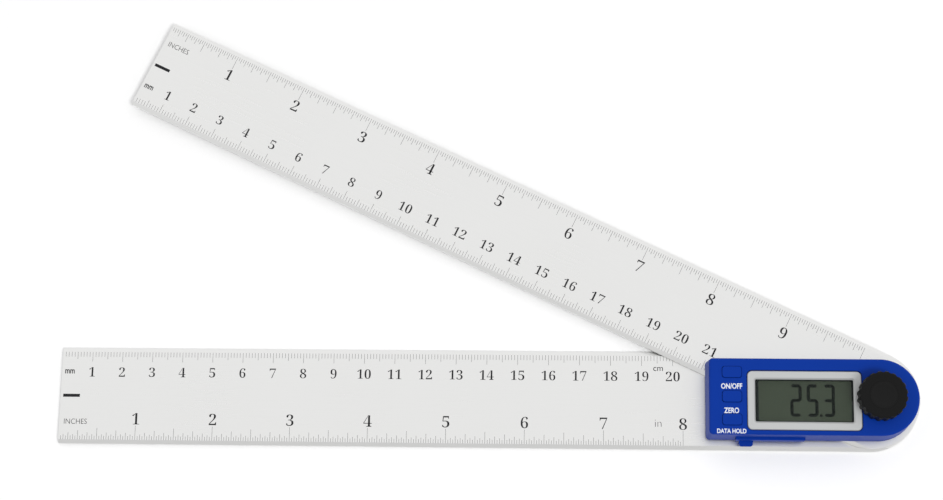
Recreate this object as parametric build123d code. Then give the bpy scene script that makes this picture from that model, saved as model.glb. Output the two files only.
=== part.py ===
from build123d import *
import math
import os

# Digital goniometer: two steel rules on one pivot, under an instrument case with a display.
# Millimetres, +Z up. The origin is on the pivot axis, in the underside of the base blade,
# which lies along -X. The swing blade turns between the base blade and the case.

# Blades
BLADE_REACH = 264.0  # pivot axis to the square far end
BLADE_TIP = 13.9  # pivot axis to the rounded end
BLADE_WIDTH = 31.4
BLADE_THICKNESS = 1.5
BLADE_CORNER = 0.4
OPEN_ANGLE = 25.3

# Gaps between pieces
FIT_GAP = 0.05  # pieces that are fixed to each other
RUNNING_GAP = 0.04  # radial play of the hub on the stud
SLIDE_GAP = 0.1  # keys and battery tray
TURN_GAP = 0.3  # hub and rotor past what stands still
THREAD_GAP = 0.02

# Pivot stud, washers, nut
HEAD_RADIUS = 6.0
HEAD_THICKNESS = 0.6
LOWER_KEY_RADIUS = 4.5
LOWER_KEY_FLATS = 7.0
JOURNAL_RADIUS = 3.0
UPPER_KEY_FLATS = 4.6
THREAD_RADIUS = 2.0
WASHER_THICKNESS = 0.3
WASHER_INSET = 0.6  # inside the long sides of the case
SPRING_STRIP = 0.3
SPRING_RISE = 0.15
SPRING_RADIUS = 4.0
NUT_FLATS = 7.0
NUT_THICKNESS = 2.2

# Hub of the swing blade
SPIGOT_WALL = 1.06
NECK_STEP = 0.5  # the neck stands out from the spigot
SEAT_STEP = 0.7  # the rotor's seat stands back from the neck
FLANGE_THICKNESS = 1.0
ROTOR_INSET = 0.4  # inside the edge of the flange
ROTOR_THICKNESS = 0.8
SENSE_GAP = 0.3  # rotor to circuit board
HUB_SCREW_WEB = 0.2  # between the screws' heads and the spigot
HUB_SCREW_EDGE = 1.0  # from the screws to the edge of the flange
HUB_SCREW_COUNT = 3
HUB_SCREW_RADIUS = 0.9
HUB_SCREW_HEAD_RADIUS = 1.7

# Case
CASE_REACH = 53.8  # pivot axis to the square end
CASE_DRAFT = 3.0
CASE_CORNER = 1.3
CASE_INNER_CORNER = 0.325  # least corner inside
CASE_WALL = 1.4
FLOOR_THICKNESS = 1.8
TOP_THICKNESS = 1.7
TOP_ROUND = 0.8
LIP_HEIGHT = 0.8
LIP_THICKNESS = 0.6
CASE_SCREW_RADIUS = 0.85
CASE_SCREW_HEAD_RADIUS = 1.5
CASE_SCREW_BITE = 2.4
POST_RADIUS = 1.7
END_POST_GAP = 0.1  # between the turning gap of the hub and the posts
END_SCREW_INSET = 2.5  # from the round end to its two screws
END_SCREW_ANGLE = 50.0
SQUARE_SCREW_INSET = 2.4  # from the square end to its two screws
SQUARE_SCREW_SIDE = 3.0  # from the long sides to those screws
KEY_BUSH_RADIUS = 3.6
KEY_BUSH_FLANGE_RADIUS = 5.0
KEY_BUSH_FLANGE = 1.0
BUSH_BOSS_RADIUS = 5.6

# Battery tray and coin cell
CELL_RADIUS = 10.0
CELL_HEIGHT = 3.2
CELL_ROOM = 1.2  # from the cell to the walls along the sides
CELL_EDGE = 0.2
CELL_COVER_INSET = 0.8
TRAY_INSET = 8.3  # from the square end of the case to the tray's left guide
TRAY_WALL = 0.7
TRAY_FLOOR = 0.8
TRAY_RIM = 2.56
TRAY_BACK_INSET = 0.5  # floor of the tray, inside the back of the cell
TRAY_RIM_INSET = 3.0
TRAY_PROUD = 0.6
TRAY_ROUND = 0.3
TAB_LENGTH = 1.7
TAB_WIDTH = 4.4
TAB_THICKNESS = 1.3
TAB_ROUND = 0.85
TAB_INSET = 1.1  # from the left end of the tray's front
CONTACT_ROOM = 0.65  # cell to circuit board
CONTACT_STRIP = 0.2
CONTACT_WIDTH = 3.0
MINUS_FOOT = 2.5
MINUS_SLOPE = 2.5
MINUS_TOUCH = 1.25
PLUS_FOOT = 3.0
PLUS_BACK = 0.4  # the plus leaf's back, from the can
PLUS_CROOK = 0.8
RIB_THICKNESS = 0.8

# Circuit board
BOARD_THICKNESS = 0.8
BOARD_SIDE_GAP = 1.2  # to the long walls of the case
BOARD_LEFT_GAP = 0.6  # to the wall at the square end
BOARD_POST_GAP = 0.4  # to the posts at the round end
BOARD_SHOULDER = -9.0
BOARD_POST_RADIUS = 1.3
BOARD_SCREW_RADIUS = 0.7
BOARD_SCREW_HEAD_RADIUS = 1.2
BOARD_SCREW_HEAD = 0.5
BOARD_SCREW_INSET = 3.5
BOARD_SCREW_BITE = 3.1
PIN_GAP = 2.3  # from the tray's right guide to the two pin posts
PIN_SPREAD = 4.4  # from the middle of the display to each pin
PIN_RADIUS = 0.6
CHIP_GAP = 2.8  # to the rotor
CHIP_RADIUS = 3.0
CHIP_HEIGHT = 1.2
CRYSTAL_RADIUS = 1.0
CRYSTAL_LENGTH = 6.0
CRYSTAL_GAP = 0.8  # to the pin post beside it

# Display
BEZEL_FRONT_INSET = 1.8
BEZEL_BACK_INSET = 4.2
BEZEL_KEY_GAP = 0.8  # from the keys to the bezel
BEZEL_PIVOT_GAP = 4.3  # from the bezel to the pivot axis
BEZEL_END_BAR = 3.0
BEZEL_SIDE_BAR = 3.0
BEZEL_GAP = 0.1  # to the pocket in the case
BEZEL_THICKNESS = 0.95
BEZEL_RECESS = 0.15
BEZEL_CORNER = 1.5
BEZEL_BEVEL = 0.45
BEZEL_ROUND = 0.225
WINDOW_LAP = 0.7  # window under the bezel, each side
LENS_THICKNESS = 0.8
GLASS_END_LAP = 1.0  # display panel under the bezel, at each end
GLASS_SIDE_LAP = 1.9
GLASS_THICKNESS = 0.7
STRIP_HEIGHT = 1.3
GLASS_GAP = 0.2
GLASS_LEDGE = 1.8  # terminal ledge along both long sides
FRAME_RIB = 0.8

# Keys
KEY_POST_GAP = 0.2  # from the keys' flanges to the posts of the case screws
KEY_LENGTH = 6.0
KEY_WIDTH = 3.5
KEY_CORNER = 0.875
KEY_BACK_INSET = 5.0
KEY_MIDDLE_Y = -0.1
KEY_FRONT_INSET = 5.3
KEY_PROUD = 0.4
KEY_ROUND = 0.2
KEY_TRAVEL = 0.4
KEY_FLANGE = 0.4
KEY_FLANGE_THICKNESS = 0.6
KEY_STEM_RADIUS = 1.2
DOME_RADIUS = 2.4
DOME_HEIGHT = 0.25

# Lock knob
KNOB_RADIUS = 7.5
KNOB_HEIGHT = 6.4
KNOB_ROUND = 0.9
KNOB_HOLLOW_RADIUS = 4.6
INSERT_RADIUS = 3.2
INSERT_LENGTH = 3.0
CAP_RADIUS = 4.2
CAP_THICKNESS = 0.7
CAP_DISH = 0.3
CAP_DISH_RADIUS = 3.36
FLUTE_COUNT = 20
FLUTE_RADIUS = 0.9
FLUTE_DEPTH = 0.45

# Heights, from the underside of the base blade upwards
SWING_FLOOR = BLADE_THICKNESS + WASHER_THICKNESS
SWING_TOP = SWING_FLOOR + BLADE_THICKNESS
CASE_FLOOR = SWING_TOP + WASHER_THICKNESS
FLOOR_TOP = CASE_FLOOR + FLOOR_THICKNESS
TRAY_Z = FLOOR_TOP + SLIDE_GAP / 2
CELL_Z = TRAY_Z + TRAY_FLOOR
CELL_TOP = CELL_Z + CELL_HEIGHT
BOARD_Z = CELL_TOP + CONTACT_ROOM
BOARD_TOP = BOARD_Z + BOARD_THICKNESS
PARTING_Z = BOARD_Z - 2 * SLIDE_GAP
ROTOR_TOP = BOARD_Z - SENSE_GAP
ROTOR_Z = ROTOR_TOP - ROTOR_THICKNESS
BUSH_Z = BOARD_TOP + TURN_GAP
LEDGE_Z = BOARD_TOP + STRIP_HEIGHT
GLASS_TOP = LEDGE_Z + GLASS_THICKNESS
LENS_Z = GLASS_TOP + GLASS_GAP
POCKET_Z = LENS_Z + LENS_THICKNESS
CASE_TOP = POCKET_Z + BEZEL_THICKNESS + BEZEL_RECESS
CEILING = CASE_TOP - TOP_THICKNESS
SPRING_TOP = CASE_TOP + SPRING_STRIP + SPRING_RISE
NUT_TOP = SPRING_TOP + NUT_THICKNESS
KNOB_Z = CASE_TOP + FIT_GAP
KNOB_TOP = KNOB_Z + KNOB_HEIGHT
INSERT_TOP = KNOB_TOP - CAP_THICKNESS - FIT_GAP
INSERT_Z = INSERT_TOP - INSERT_LENGTH
HUB_RECESS_TOP = SWING_TOP + FLANGE_THICKNESS + TURN_GAP / 2

# Sizes that follow from the pivot outwards, and the case's width over hub and coin cell
SPIGOT_RADIUS = JOURNAL_RADIUS + RUNNING_GAP + SPIGOT_WALL
NECK_RADIUS = SPIGOT_RADIUS + NECK_STEP
ROTOR_SEAT_RADIUS = NECK_RADIUS - SEAT_STEP
HUB_SCREW_CIRCLE = SPIGOT_RADIUS + HUB_SCREW_WEB + HUB_SCREW_HEAD_RADIUS + 2 * FIT_GAP
FLANGE_RADIUS = HUB_SCREW_CIRCLE + HUB_SCREW_RADIUS + HUB_SCREW_EDGE
ROTOR_RADIUS = FLANGE_RADIUS - ROTOR_INSET
WIDTH_OVER_HUB = FLANGE_RADIUS + TURN_GAP + END_POST_GAP + POST_RADIUS + END_SCREW_INSET
CASE_HALF_WIDTH = max(WIDTH_OVER_HUB, CELL_RADIUS + CELL_ROOM + CASE_WALL)
WASHER_RADIUS = CASE_HALF_WIDTH - WASHER_INSET
END_SCREW_CIRCLE = CASE_HALF_WIDTH - END_SCREW_INSET
BOARD_HALF_WIDTH = CASE_HALF_WIDTH - CASE_WALL - BOARD_SIDE_GAP
BOARD_END_RADIUS = END_SCREW_CIRCLE - POST_RADIUS - BOARD_POST_GAP
TRAY_BACK = CELL_RADIUS - TRAY_BACK_INSET
TRAY_RIM_BACK = CELL_RADIUS - TRAY_RIM_INSET

# Places that several pieces share
SQUARE_SCREW_X = -CASE_REACH + SQUARE_SCREW_INSET
SQUARE_SCREW_Y = CASE_HALF_WIDTH - SQUARE_SCREW_SIDE
END_SCREW_X = END_SCREW_CIRCLE * math.cos(math.radians(END_SCREW_ANGLE))
END_SCREW_Y = END_SCREW_CIRCLE * math.sin(math.radians(END_SCREW_ANGLE))
CASE_SCREWS = [
    (SQUARE_SCREW_X, SQUARE_SCREW_Y),
    (SQUARE_SCREW_X, -SQUARE_SCREW_Y),
    (END_SCREW_X, END_SCREW_Y),
    (END_SCREW_X, -END_SCREW_Y),
]
KEY_Y = {
    "key_power": CASE_HALF_WIDTH - KEY_BACK_INSET,
    "key_zero": KEY_MIDDLE_Y,
    "key_hold": KEY_FRONT_INSET - CASE_HALF_WIDTH,
}
BOARD_SCREW_X = -CASE_REACH + BOARD_SCREW_INSET
BOARD_SCREWS = [
    (BOARD_SCREW_X, (KEY_Y["key_power"] + KEY_Y["key_zero"]) / 2),
    (BOARD_SCREW_X, (KEY_Y["key_zero"] + KEY_Y["key_hold"]) / 2),
]
TRAY_HALF_WIDTH = CELL_RADIUS + SLIDE_GAP + TRAY_WALL
GUIDE_REACH = TRAY_HALF_WIDTH + SLIDE_GAP + RIB_THICKNESS
CELL_X = -CASE_REACH + TRAY_INSET + GUIDE_REACH
PIN_X = CELL_X + GUIDE_REACH + PIN_GAP + BOARD_POST_RADIUS
DISPLAY_Y = (BEZEL_FRONT_INSET - BEZEL_BACK_INSET) / 2
BOARD_PINS = [(PIN_X, DISPLAY_Y + PIN_SPREAD), (PIN_X, DISPLAY_Y - PIN_SPREAD)]
KEY_X = SQUARE_SCREW_X + POST_RADIUS + KEY_POST_GAP + KEY_FLANGE + KEY_LENGTH / 2
BEZEL_LEFT = KEY_X + KEY_LENGTH / 2 + BEZEL_KEY_GAP
BEZEL_LENGTH = -BEZEL_PIVOT_GAP - BEZEL_LEFT
DISPLAY_X = BEZEL_LEFT + BEZEL_LENGTH / 2
BEZEL_WIDTH = 2 * CASE_HALF_WIDTH - BEZEL_FRONT_INSET - BEZEL_BACK_INSET
WINDOW_LENGTH = BEZEL_LENGTH - 2 * BEZEL_END_BAR
WINDOW_WIDTH = BEZEL_WIDTH - 2 * BEZEL_SIDE_BAR
GLASS_LENGTH = WINDOW_LENGTH + 2 * GLASS_END_LAP
GLASS_WIDTH = WINDOW_WIDTH + 2 * GLASS_SIDE_LAP
SWING = Rot(0, 0, -OPEN_ANGLE)


def slab(sketch, low, high):
    """A flat outline, carried straight up from one height to another."""
    return Pos(0, 0, low) * extrude(sketch, high - low)


def disc(radius, low, high, x=0.0, y=0.0):
    """A round post."""
    return slab(Pos(x, y) * Circle(radius), low, high)


def box(x_low, x_high, y_low, y_high, low, high):
    """A square block between stated faces."""
    centre = Pos((x_low + x_high) / 2, (y_low + y_high) / 2)
    return slab(centre * Rectangle(x_high - x_low, y_high - y_low), low, high)


def double_d(radius, across_flats):
    """A round section with two flats, which keys one piece to another."""
    return Circle(radius) & Rectangle(2 * radius, across_flats)


def low_dome(radius, height):
    """A shallow round dome that stands on Z = 0."""
    ball = (radius**2 + height**2) / (2 * height)
    return Pos(0, 0, height - ball) * Sphere(ball) & disc(radius, 0, height)


def countersunk_screw(x, y, low, high, radius, head_radius, play=0.0):
    """A screw driven upwards, or with play the hole for it."""
    head_height = head_radius - radius
    head = Pos(x, y, low + head_height / 2) * Cone(head_radius + play, radius + play, head_height)
    return head + disc(radius + play, low, high, x, y)


def blade_outline():
    """A rule: square at the far end, round at the pivot."""
    half = BLADE_WIDTH / 2
    round_centre = BLADE_TIP - half
    straight = BLADE_REACH + round_centre
    outline = Pos(round_centre - straight / 2, 0) * Rectangle(straight, BLADE_WIDTH)
    outline += Pos(round_centre, 0) * Circle(half)
    return fillet(outline.vertices().group_by(Axis.X)[0], BLADE_CORNER)


def hub_screw_places():
    """The screws that hold the hub bush to the swing blade."""
    step = 2 * math.pi / HUB_SCREW_COUNT
    angles = [step * index for index in range(HUB_SCREW_COUNT)]
    return [(HUB_SCREW_CIRCLE * math.cos(a), HUB_SCREW_CIRCLE * math.sin(a)) for a in angles]


def case_outline(height, inset, corner):
    """The case seen from above at one height: its sides lean in by the draft."""
    shrink = (height - CASE_FLOOR) * math.tan(math.radians(CASE_DRAFT)) + inset
    half = CASE_HALF_WIDTH - shrink
    reach = CASE_REACH - shrink
    outline = Pos(-reach / 2, 0) * Rectangle(reach, 2 * half) + Circle(half)
    outline = fillet(outline.vertices().group_by(Axis.X)[0], corner)
    return Pos(0, 0, height) * outline


def case_block(low, high, inset=0.0):
    """A solid of the case's drafted form, inset from its outer face."""
    corner = max(CASE_CORNER - inset, CASE_INNER_CORNER)
    return loft([case_outline(low, inset, corner), case_outline(high, inset, corner)], ruled=True)


def make_base_blade():
    blade = slab(blade_outline(), 0, BLADE_THICKNESS)
    blade -= slab(double_d(LOWER_KEY_RADIUS, LOWER_KEY_FLATS), 0, BLADE_THICKNESS)
    return blade - disc(HEAD_RADIUS + FIT_GAP, 0, HEAD_THICKNESS)


def make_swing_blade():
    blade = slab(blade_outline(), SWING_FLOOR, SWING_TOP)
    blade -= disc(SPIGOT_RADIUS + FIT_GAP, SWING_FLOOR, SWING_TOP)
    for x, y in hub_screw_places():
        blade -= countersunk_screw(
            x, y, SWING_FLOOR, SWING_TOP, HUB_SCREW_RADIUS, HUB_SCREW_HEAD_RADIUS, FIT_GAP
        )
    return blade


def make_pivot_stud():
    """Flush head, key in the base blade, journal for the hub, key in the case, thread."""
    lower_key = double_d(LOWER_KEY_RADIUS - FIT_GAP, LOWER_KEY_FLATS - 2 * FIT_GAP)
    upper_key = double_d(JOURNAL_RADIUS, UPPER_KEY_FLATS)
    stud = disc(HEAD_RADIUS, 0, HEAD_THICKNESS)
    stud += slab(lower_key, HEAD_THICKNESS, BLADE_THICKNESS)
    stud += disc(JOURNAL_RADIUS, BLADE_THICKNESS, BUSH_Z - FIT_GAP)
    stud += slab(upper_key, BUSH_Z - FIT_GAP, CASE_TOP)
    return stud + disc(THREAD_RADIUS, CASE_TOP, INSERT_TOP)


def make_lower_washer():
    ring = Circle(WASHER_RADIUS) - Circle(JOURNAL_RADIUS + TURN_GAP)
    return slab(ring, BLADE_THICKNESS, SWING_FLOOR)


def make_upper_washer():
    ring = Circle(WASHER_RADIUS) - Circle(FLANGE_RADIUS + TURN_GAP)
    return slab(ring, SWING_TOP, CASE_FLOOR)


def make_hub_bush():
    """The bearing of the swing blade: spigot, screwed flange, neck and rotor seat."""
    flange_top = SWING_TOP + FLANGE_THICKNESS
    hub = disc(SPIGOT_RADIUS, SWING_FLOOR, SWING_TOP)
    hub += disc(FLANGE_RADIUS, SWING_TOP, flange_top)
    hub += disc(NECK_RADIUS, flange_top, ROTOR_Z)
    hub += disc(ROTOR_SEAT_RADIUS, ROTOR_Z, ROTOR_TOP)
    hub -= disc(JOURNAL_RADIUS + RUNNING_GAP, SWING_FLOOR, ROTOR_TOP)
    for x, y in hub_screw_places():
        hub -= disc(HUB_SCREW_RADIUS + THREAD_GAP, SWING_TOP, flange_top, x, y)
    return hub


def make_hub_screws():
    high = SWING_TOP + FLANGE_THICKNESS
    return [
        countersunk_screw(x, y, SWING_FLOOR, high, HUB_SCREW_RADIUS, HUB_SCREW_HEAD_RADIUS)
        for x, y in hub_screw_places()
    ]


def make_sensor_rotor():
    ring = Circle(ROTOR_RADIUS) - Circle(ROTOR_SEAT_RADIUS + FIT_GAP)
    return slab(ring, ROTOR_Z, ROTOR_TOP)


def make_case_bottom():
    shell = case_block(CASE_FLOOR, PARTING_Z) - case_block(FLOOR_TOP, PARTING_Z, CASE_WALL)
    lip = case_block(PARTING_Z, PARTING_Z + LIP_HEIGHT, CASE_WALL - LIP_THICKNESS)
    shell += lip - case_block(PARTING_Z, PARTING_Z + LIP_HEIGHT, CASE_WALL)
    for x, y in CASE_SCREWS:
        shell -= disc(POST_RADIUS + SLIDE_GAP, PARTING_Z, PARTING_Z + LIP_HEIGHT, x, y)
        shell += disc(POST_RADIUS, CASE_FLOOR, PARTING_Z, x, y)
    for x, y in BOARD_SCREWS:
        shell += disc(BOARD_POST_RADIUS, CASE_FLOOR, BOARD_Z, x, y)
        shell -= disc(BOARD_SCREW_RADIUS + THREAD_GAP, FLOOR_TOP, BOARD_Z, x, y)
    for x, y in BOARD_PINS:
        shell += disc(BOARD_POST_RADIUS, CASE_FLOOR, BOARD_Z, x, y)
        shell += disc(PIN_RADIUS, BOARD_Z, BOARD_TOP, x, y)
    shell += tray_guides()
    front = -CASE_HALF_WIDTH
    half_slot = TRAY_HALF_WIDTH + SLIDE_GAP
    slot = (CELL_X - half_slot, CELL_X + half_slot, front, front + 2 * CASE_WALL)
    shell -= box(*slot, FLOOR_TOP, PARTING_Z + LIP_HEIGHT)
    for x, y in CASE_SCREWS:
        shell -= countersunk_screw(
            x, y, CASE_FLOOR, PARTING_Z, CASE_SCREW_RADIUS, CASE_SCREW_HEAD_RADIUS, SLIDE_GAP
        )
    shell -= disc(FLANGE_RADIUS + TURN_GAP, CASE_FLOOR, HUB_RECESS_TOP)
    return shell - disc(NECK_RADIUS + TURN_GAP, CASE_FLOOR, FLOOR_TOP)


def tray_guides():
    """Two ribs on the floor of the case that lead the battery tray."""
    inner = TRAY_HALF_WIDTH + SLIDE_GAP
    front = CASE_WALL - CASE_HALF_WIDTH
    ribs = None
    for side in (-1, 1):
        ends = sorted((CELL_X + side * inner, CELL_X + side * (inner + RIB_THICKNESS)))
        rib = box(*ends, front, TRAY_BACK, CASE_FLOOR, PARTING_Z)
        ribs = rib if ribs is None else ribs + rib
    return ribs


def make_case_top():
    outer = case_block(PARTING_Z, CASE_TOP)
    outer = fillet(outer.faces().sort_by(Axis.Z)[-1].edges(), TOP_ROUND)
    shell = outer - case_block(PARTING_Z, CEILING, CASE_WALL)
    groove_inset = CASE_WALL - LIP_THICKNESS - FIT_GAP
    shell -= case_block(PARTING_Z, PARTING_Z + LIP_HEIGHT + FIT_GAP, groove_inset)
    for x, y in CASE_SCREWS:
        shell += disc(POST_RADIUS, PARTING_Z, CEILING, x, y)
        bite = PARTING_Z + CASE_SCREW_BITE + FIT_GAP
        shell -= disc(CASE_SCREW_RADIUS + THREAD_GAP, PARTING_Z, bite, x, y)
    shell += display_frame() & case_block(LEDGE_Z, CEILING)
    shell += disc(BUSH_BOSS_RADIUS, BUSH_Z + KEY_BUSH_FLANGE, CEILING)
    shell -= disc(KEY_BUSH_RADIUS, BUSH_Z, CASE_TOP)
    place = Pos(DISPLAY_X, DISPLAY_Y)
    play = 2 * SLIDE_GAP
    gaps = 2 * BEZEL_GAP
    pocket = RectangleRounded(BEZEL_LENGTH + gaps, BEZEL_WIDTH + gaps, BEZEL_CORNER)
    shell -= slab(place * pocket, POCKET_Z, CASE_TOP)
    lens = lens_outline(play)
    shell -= slab(place * lens, LENS_Z - GLASS_GAP, POCKET_Z)
    for y in KEY_Y.values():
        hole = RectangleRounded(KEY_LENGTH + play, KEY_WIDTH + play, KEY_CORNER)
        shell -= slab(Pos(KEY_X, y) * hole, CEILING, CASE_TOP)
    return shell


def display_frame():
    """A rib round the display panel, under the top of the case."""
    inner = Rectangle(GLASS_LENGTH + 2 * FIT_GAP, GLASS_WIDTH + 2 * FIT_GAP)
    outer = Rectangle(GLASS_LENGTH + 2 * FRAME_RIB, GLASS_WIDTH + 2 * FRAME_RIB)
    return slab(Pos(DISPLAY_X, DISPLAY_Y) * (outer - inner), LEDGE_Z, CEILING)


def lens_outline(play):
    lap = 2 * WINDOW_LAP + play
    return RectangleRounded(WINDOW_LENGTH + lap, WINDOW_WIDTH + lap, WINDOW_LAP)


def make_case_screws():
    low = CASE_FLOOR + FIT_GAP
    high = PARTING_Z + CASE_SCREW_BITE
    return [
        countersunk_screw(x, y, low, high, CASE_SCREW_RADIUS, CASE_SCREW_HEAD_RADIUS)
        for x, y in CASE_SCREWS
    ]


def make_key_bush():
    """Moulded into the case over the pivot: its flats keep the case on the stud's flats."""
    bush = disc(KEY_BUSH_FLANGE_RADIUS, BUSH_Z, BUSH_Z + KEY_BUSH_FLANGE)
    bush += disc(KEY_BUSH_RADIUS, BUSH_Z, CASE_TOP)
    hole = double_d(JOURNAL_RADIUS + FIT_GAP, UPPER_KEY_FLATS + 2 * FIT_GAP)
    return bush - slab(hole, BUSH_Z, CASE_TOP)


def make_spring_washer():
    """A dished washer: it keeps the stack of blades and washers under light pressure."""
    inner = THREAD_RADIUS + FIT_GAP
    low = CASE_TOP
    high = CASE_TOP + SPRING_RISE
    section = Polyline(
        (inner, 0, high),
        (SPRING_RADIUS, 0, low),
        (SPRING_RADIUS, 0, low + SPRING_STRIP),
        (inner, 0, high + SPRING_STRIP),
        close=True,
    )
    return revolve(make_face(section), Axis.Z)


def make_retaining_nut():
    hexagon = RegularPolygon(NUT_FLATS / 2, 6, major_radius=False)
    return slab(hexagon - Circle(THREAD_RADIUS + THREAD_GAP), SPRING_TOP, NUT_TOP)


def make_display_bezel():
    place = Pos(DISPLAY_X, DISPLAY_Y)
    plate = RectangleRounded(BEZEL_LENGTH, BEZEL_WIDTH, BEZEL_CORNER)
    opening = RectangleRounded(WINDOW_LENGTH, WINDOW_WIDTH, BEZEL_BEVEL)
    bezel = slab(place * (plate - opening), POCKET_Z, POCKET_Z + BEZEL_THICKNESS)
    face = bezel.faces().sort_by(Axis.Z)[-1]
    bezel = chamfer(face.inner_wires()[0].edges(), BEZEL_BEVEL)
    face = bezel.faces().sort_by(Axis.Z)[-1]
    return fillet(face.outer_wire().edges(), BEZEL_ROUND)


def make_display_window():
    return slab(Pos(DISPLAY_X, DISPLAY_Y) * lens_outline(0), LENS_Z, POCKET_Z)


def make_lcd_panel():
    """Two bonded glasses: the upper one has a terminal ledge along each long side."""
    place = Pos(DISPLAY_X, DISPLAY_Y)
    rear_width = GLASS_WIDTH - 2 * GLASS_LEDGE
    panel = slab(place * Rectangle(GLASS_LENGTH, GLASS_WIDTH), LEDGE_Z, GLASS_TOP)
    return panel + slab(place * Rectangle(GLASS_LENGTH, rear_width), LEDGE_Z - GLASS_THICKNESS, LEDGE_Z)


def make_contact_strips():
    """Conductive rubber strips between the board and the ledges of the display panel."""
    strips = []
    for side in (-1, 1):
        y = DISPLAY_Y + side * (GLASS_WIDTH - GLASS_LEDGE) / 2
        strip = Rectangle(GLASS_LENGTH - GLASS_LEDGE, GLASS_LEDGE - 2 * SLIDE_GAP)
        strips.append(slab(Pos(DISPLAY_X, y) * strip, BOARD_TOP, LEDGE_Z))
    return strips


def make_circuit_board():
    left = -CASE_REACH + CASE_WALL + BOARD_LEFT_GAP
    outline = Pos((left + BOARD_SHOULDER) / 2, 0) * Rectangle(
        BOARD_SHOULDER - left, 2 * BOARD_HALF_WIDTH
    )
    outline += Pos(BOARD_SHOULDER / 2, 0) * Rectangle(-BOARD_SHOULDER, 2 * BOARD_END_RADIUS)
    outline += Circle(BOARD_END_RADIUS)
    outline -= Circle(JOURNAL_RADIUS + TURN_GAP)
    for x, y in CASE_SCREWS[:2]:
        outline -= Pos(x, y) * Circle(POST_RADIUS + TURN_GAP)
    for x, y in BOARD_SCREWS:
        outline -= Pos(x, y) * Circle(BOARD_SCREW_RADIUS + FIT_GAP)
    for x, y in BOARD_PINS:
        outline -= Pos(x, y) * Circle(PIN_RADIUS + FIT_GAP)
    return slab(outline, BOARD_Z, BOARD_TOP)


def make_board_screws():
    screws = []
    for x, y in BOARD_SCREWS:
        screw = disc(BOARD_SCREW_RADIUS, BOARD_Z - BOARD_SCREW_BITE, BOARD_TOP, x, y)
        head = disc(BOARD_SCREW_HEAD_RADIUS, BOARD_TOP, BOARD_TOP + BOARD_SCREW_HEAD, x, y)
        screws.append(screw + head)
    return screws


def make_measuring_chip():
    """A bonded chip under its drop of black resin, on the underside of the board."""
    place = Pos(-ROTOR_RADIUS - CHIP_GAP - CHIP_RADIUS, DISPLAY_Y, BOARD_Z)
    return place * Rot(180, 0, 0) * low_dome(CHIP_RADIUS, CHIP_HEIGHT)


def make_quartz_crystal():
    """A small can that lies under the board, between a pin post and the hub."""
    x = PIN_X + BOARD_POST_RADIUS + CRYSTAL_GAP + CRYSTAL_LENGTH / 2
    y = DISPLAY_Y + CHIP_RADIUS + 2 * CRYSTAL_RADIUS
    can = Rot(0, 90, 0) * Cylinder(CRYSTAL_RADIUS, CRYSTAL_LENGTH)
    return Pos(x, y, BOARD_Z - CRYSTAL_RADIUS) * can


def make_key_domes():
    return [Pos(KEY_X, y, BOARD_TOP) * low_dome(DOME_RADIUS, DOME_HEIGHT) for y in KEY_Y.values()]


def make_key(y):
    """A key cap, its flange under the top of the case, and its stem down to the dome."""
    place = Pos(KEY_X, y)
    flange_top = CEILING - SLIDE_GAP
    flange_low = flange_top - KEY_FLANGE_THICKNESS
    cap = slab(RectangleRounded(KEY_LENGTH, KEY_WIDTH, KEY_CORNER), flange_top, CASE_TOP + KEY_PROUD)
    cap = fillet(cap.faces().sort_by(Axis.Z)[-1].edges(), KEY_ROUND)
    flange = Rectangle(KEY_LENGTH + 2 * KEY_FLANGE, KEY_WIDTH + 2 * KEY_FLANGE)
    key = cap + slab(flange, flange_low, flange_top)
    key += disc(KEY_STEM_RADIUS, BOARD_TOP + DOME_HEIGHT + KEY_TRAVEL + FIT_GAP, flange_low)
    return place * key


def make_battery_tray():
    """A drawer with a round pocket, open behind the cell, and a front with a finger tab."""
    front = -CASE_HALF_WIDTH
    inside = front + CASE_WALL + TRAY_WALL
    left = CELL_X - TRAY_HALF_WIDTH
    right = CELL_X + TRAY_HALF_WIDTH
    tray = box(left, right, inside, TRAY_BACK, TRAY_Z, CELL_Z)
    rim = box(left, right, inside, TRAY_RIM_BACK, CELL_Z, CELL_Z + TRAY_RIM)
    tray += rim - disc(CELL_RADIUS + SLIDE_GAP, CELL_Z, CELL_TOP, CELL_X, 0)
    panel = box(left, right, front - TRAY_PROUD, inside, TRAY_Z, PARTING_Z - SLIDE_GAP)
    panel = fillet(panel.faces().sort_by(Axis.Y)[0].edges(), TRAY_ROUND)
    tray += panel - disc(CELL_RADIUS + SLIDE_GAP, CELL_Z, PARTING_Z, CELL_X, 0)
    tab_left = left + TAB_INSET
    tab_front = front - TRAY_PROUD - TAB_LENGTH
    tab = box(tab_left, tab_left + TAB_WIDTH, tab_front, inside, TRAY_Z, TRAY_Z + TAB_THICKNESS)
    tab = fillet(tab.edges().filter_by(Axis.Z).group_by(Axis.Y)[0], TAB_ROUND)
    return tray + (tab - disc(CELL_RADIUS + SLIDE_GAP, CELL_Z, CELL_TOP, CELL_X, 0))


def make_coin_cell():
    """The can, with the smaller cover on top inside its crimped rim."""
    cell = disc(CELL_RADIUS, CELL_Z, CELL_TOP - CELL_EDGE, CELL_X, 0)
    cell = fillet(cell.edges().group_by(Axis.Z)[0], CELL_EDGE)
    return cell + disc(CELL_RADIUS - CELL_COVER_INSET, CELL_TOP - CELL_EDGE, CELL_TOP, CELL_X, 0)


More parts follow.
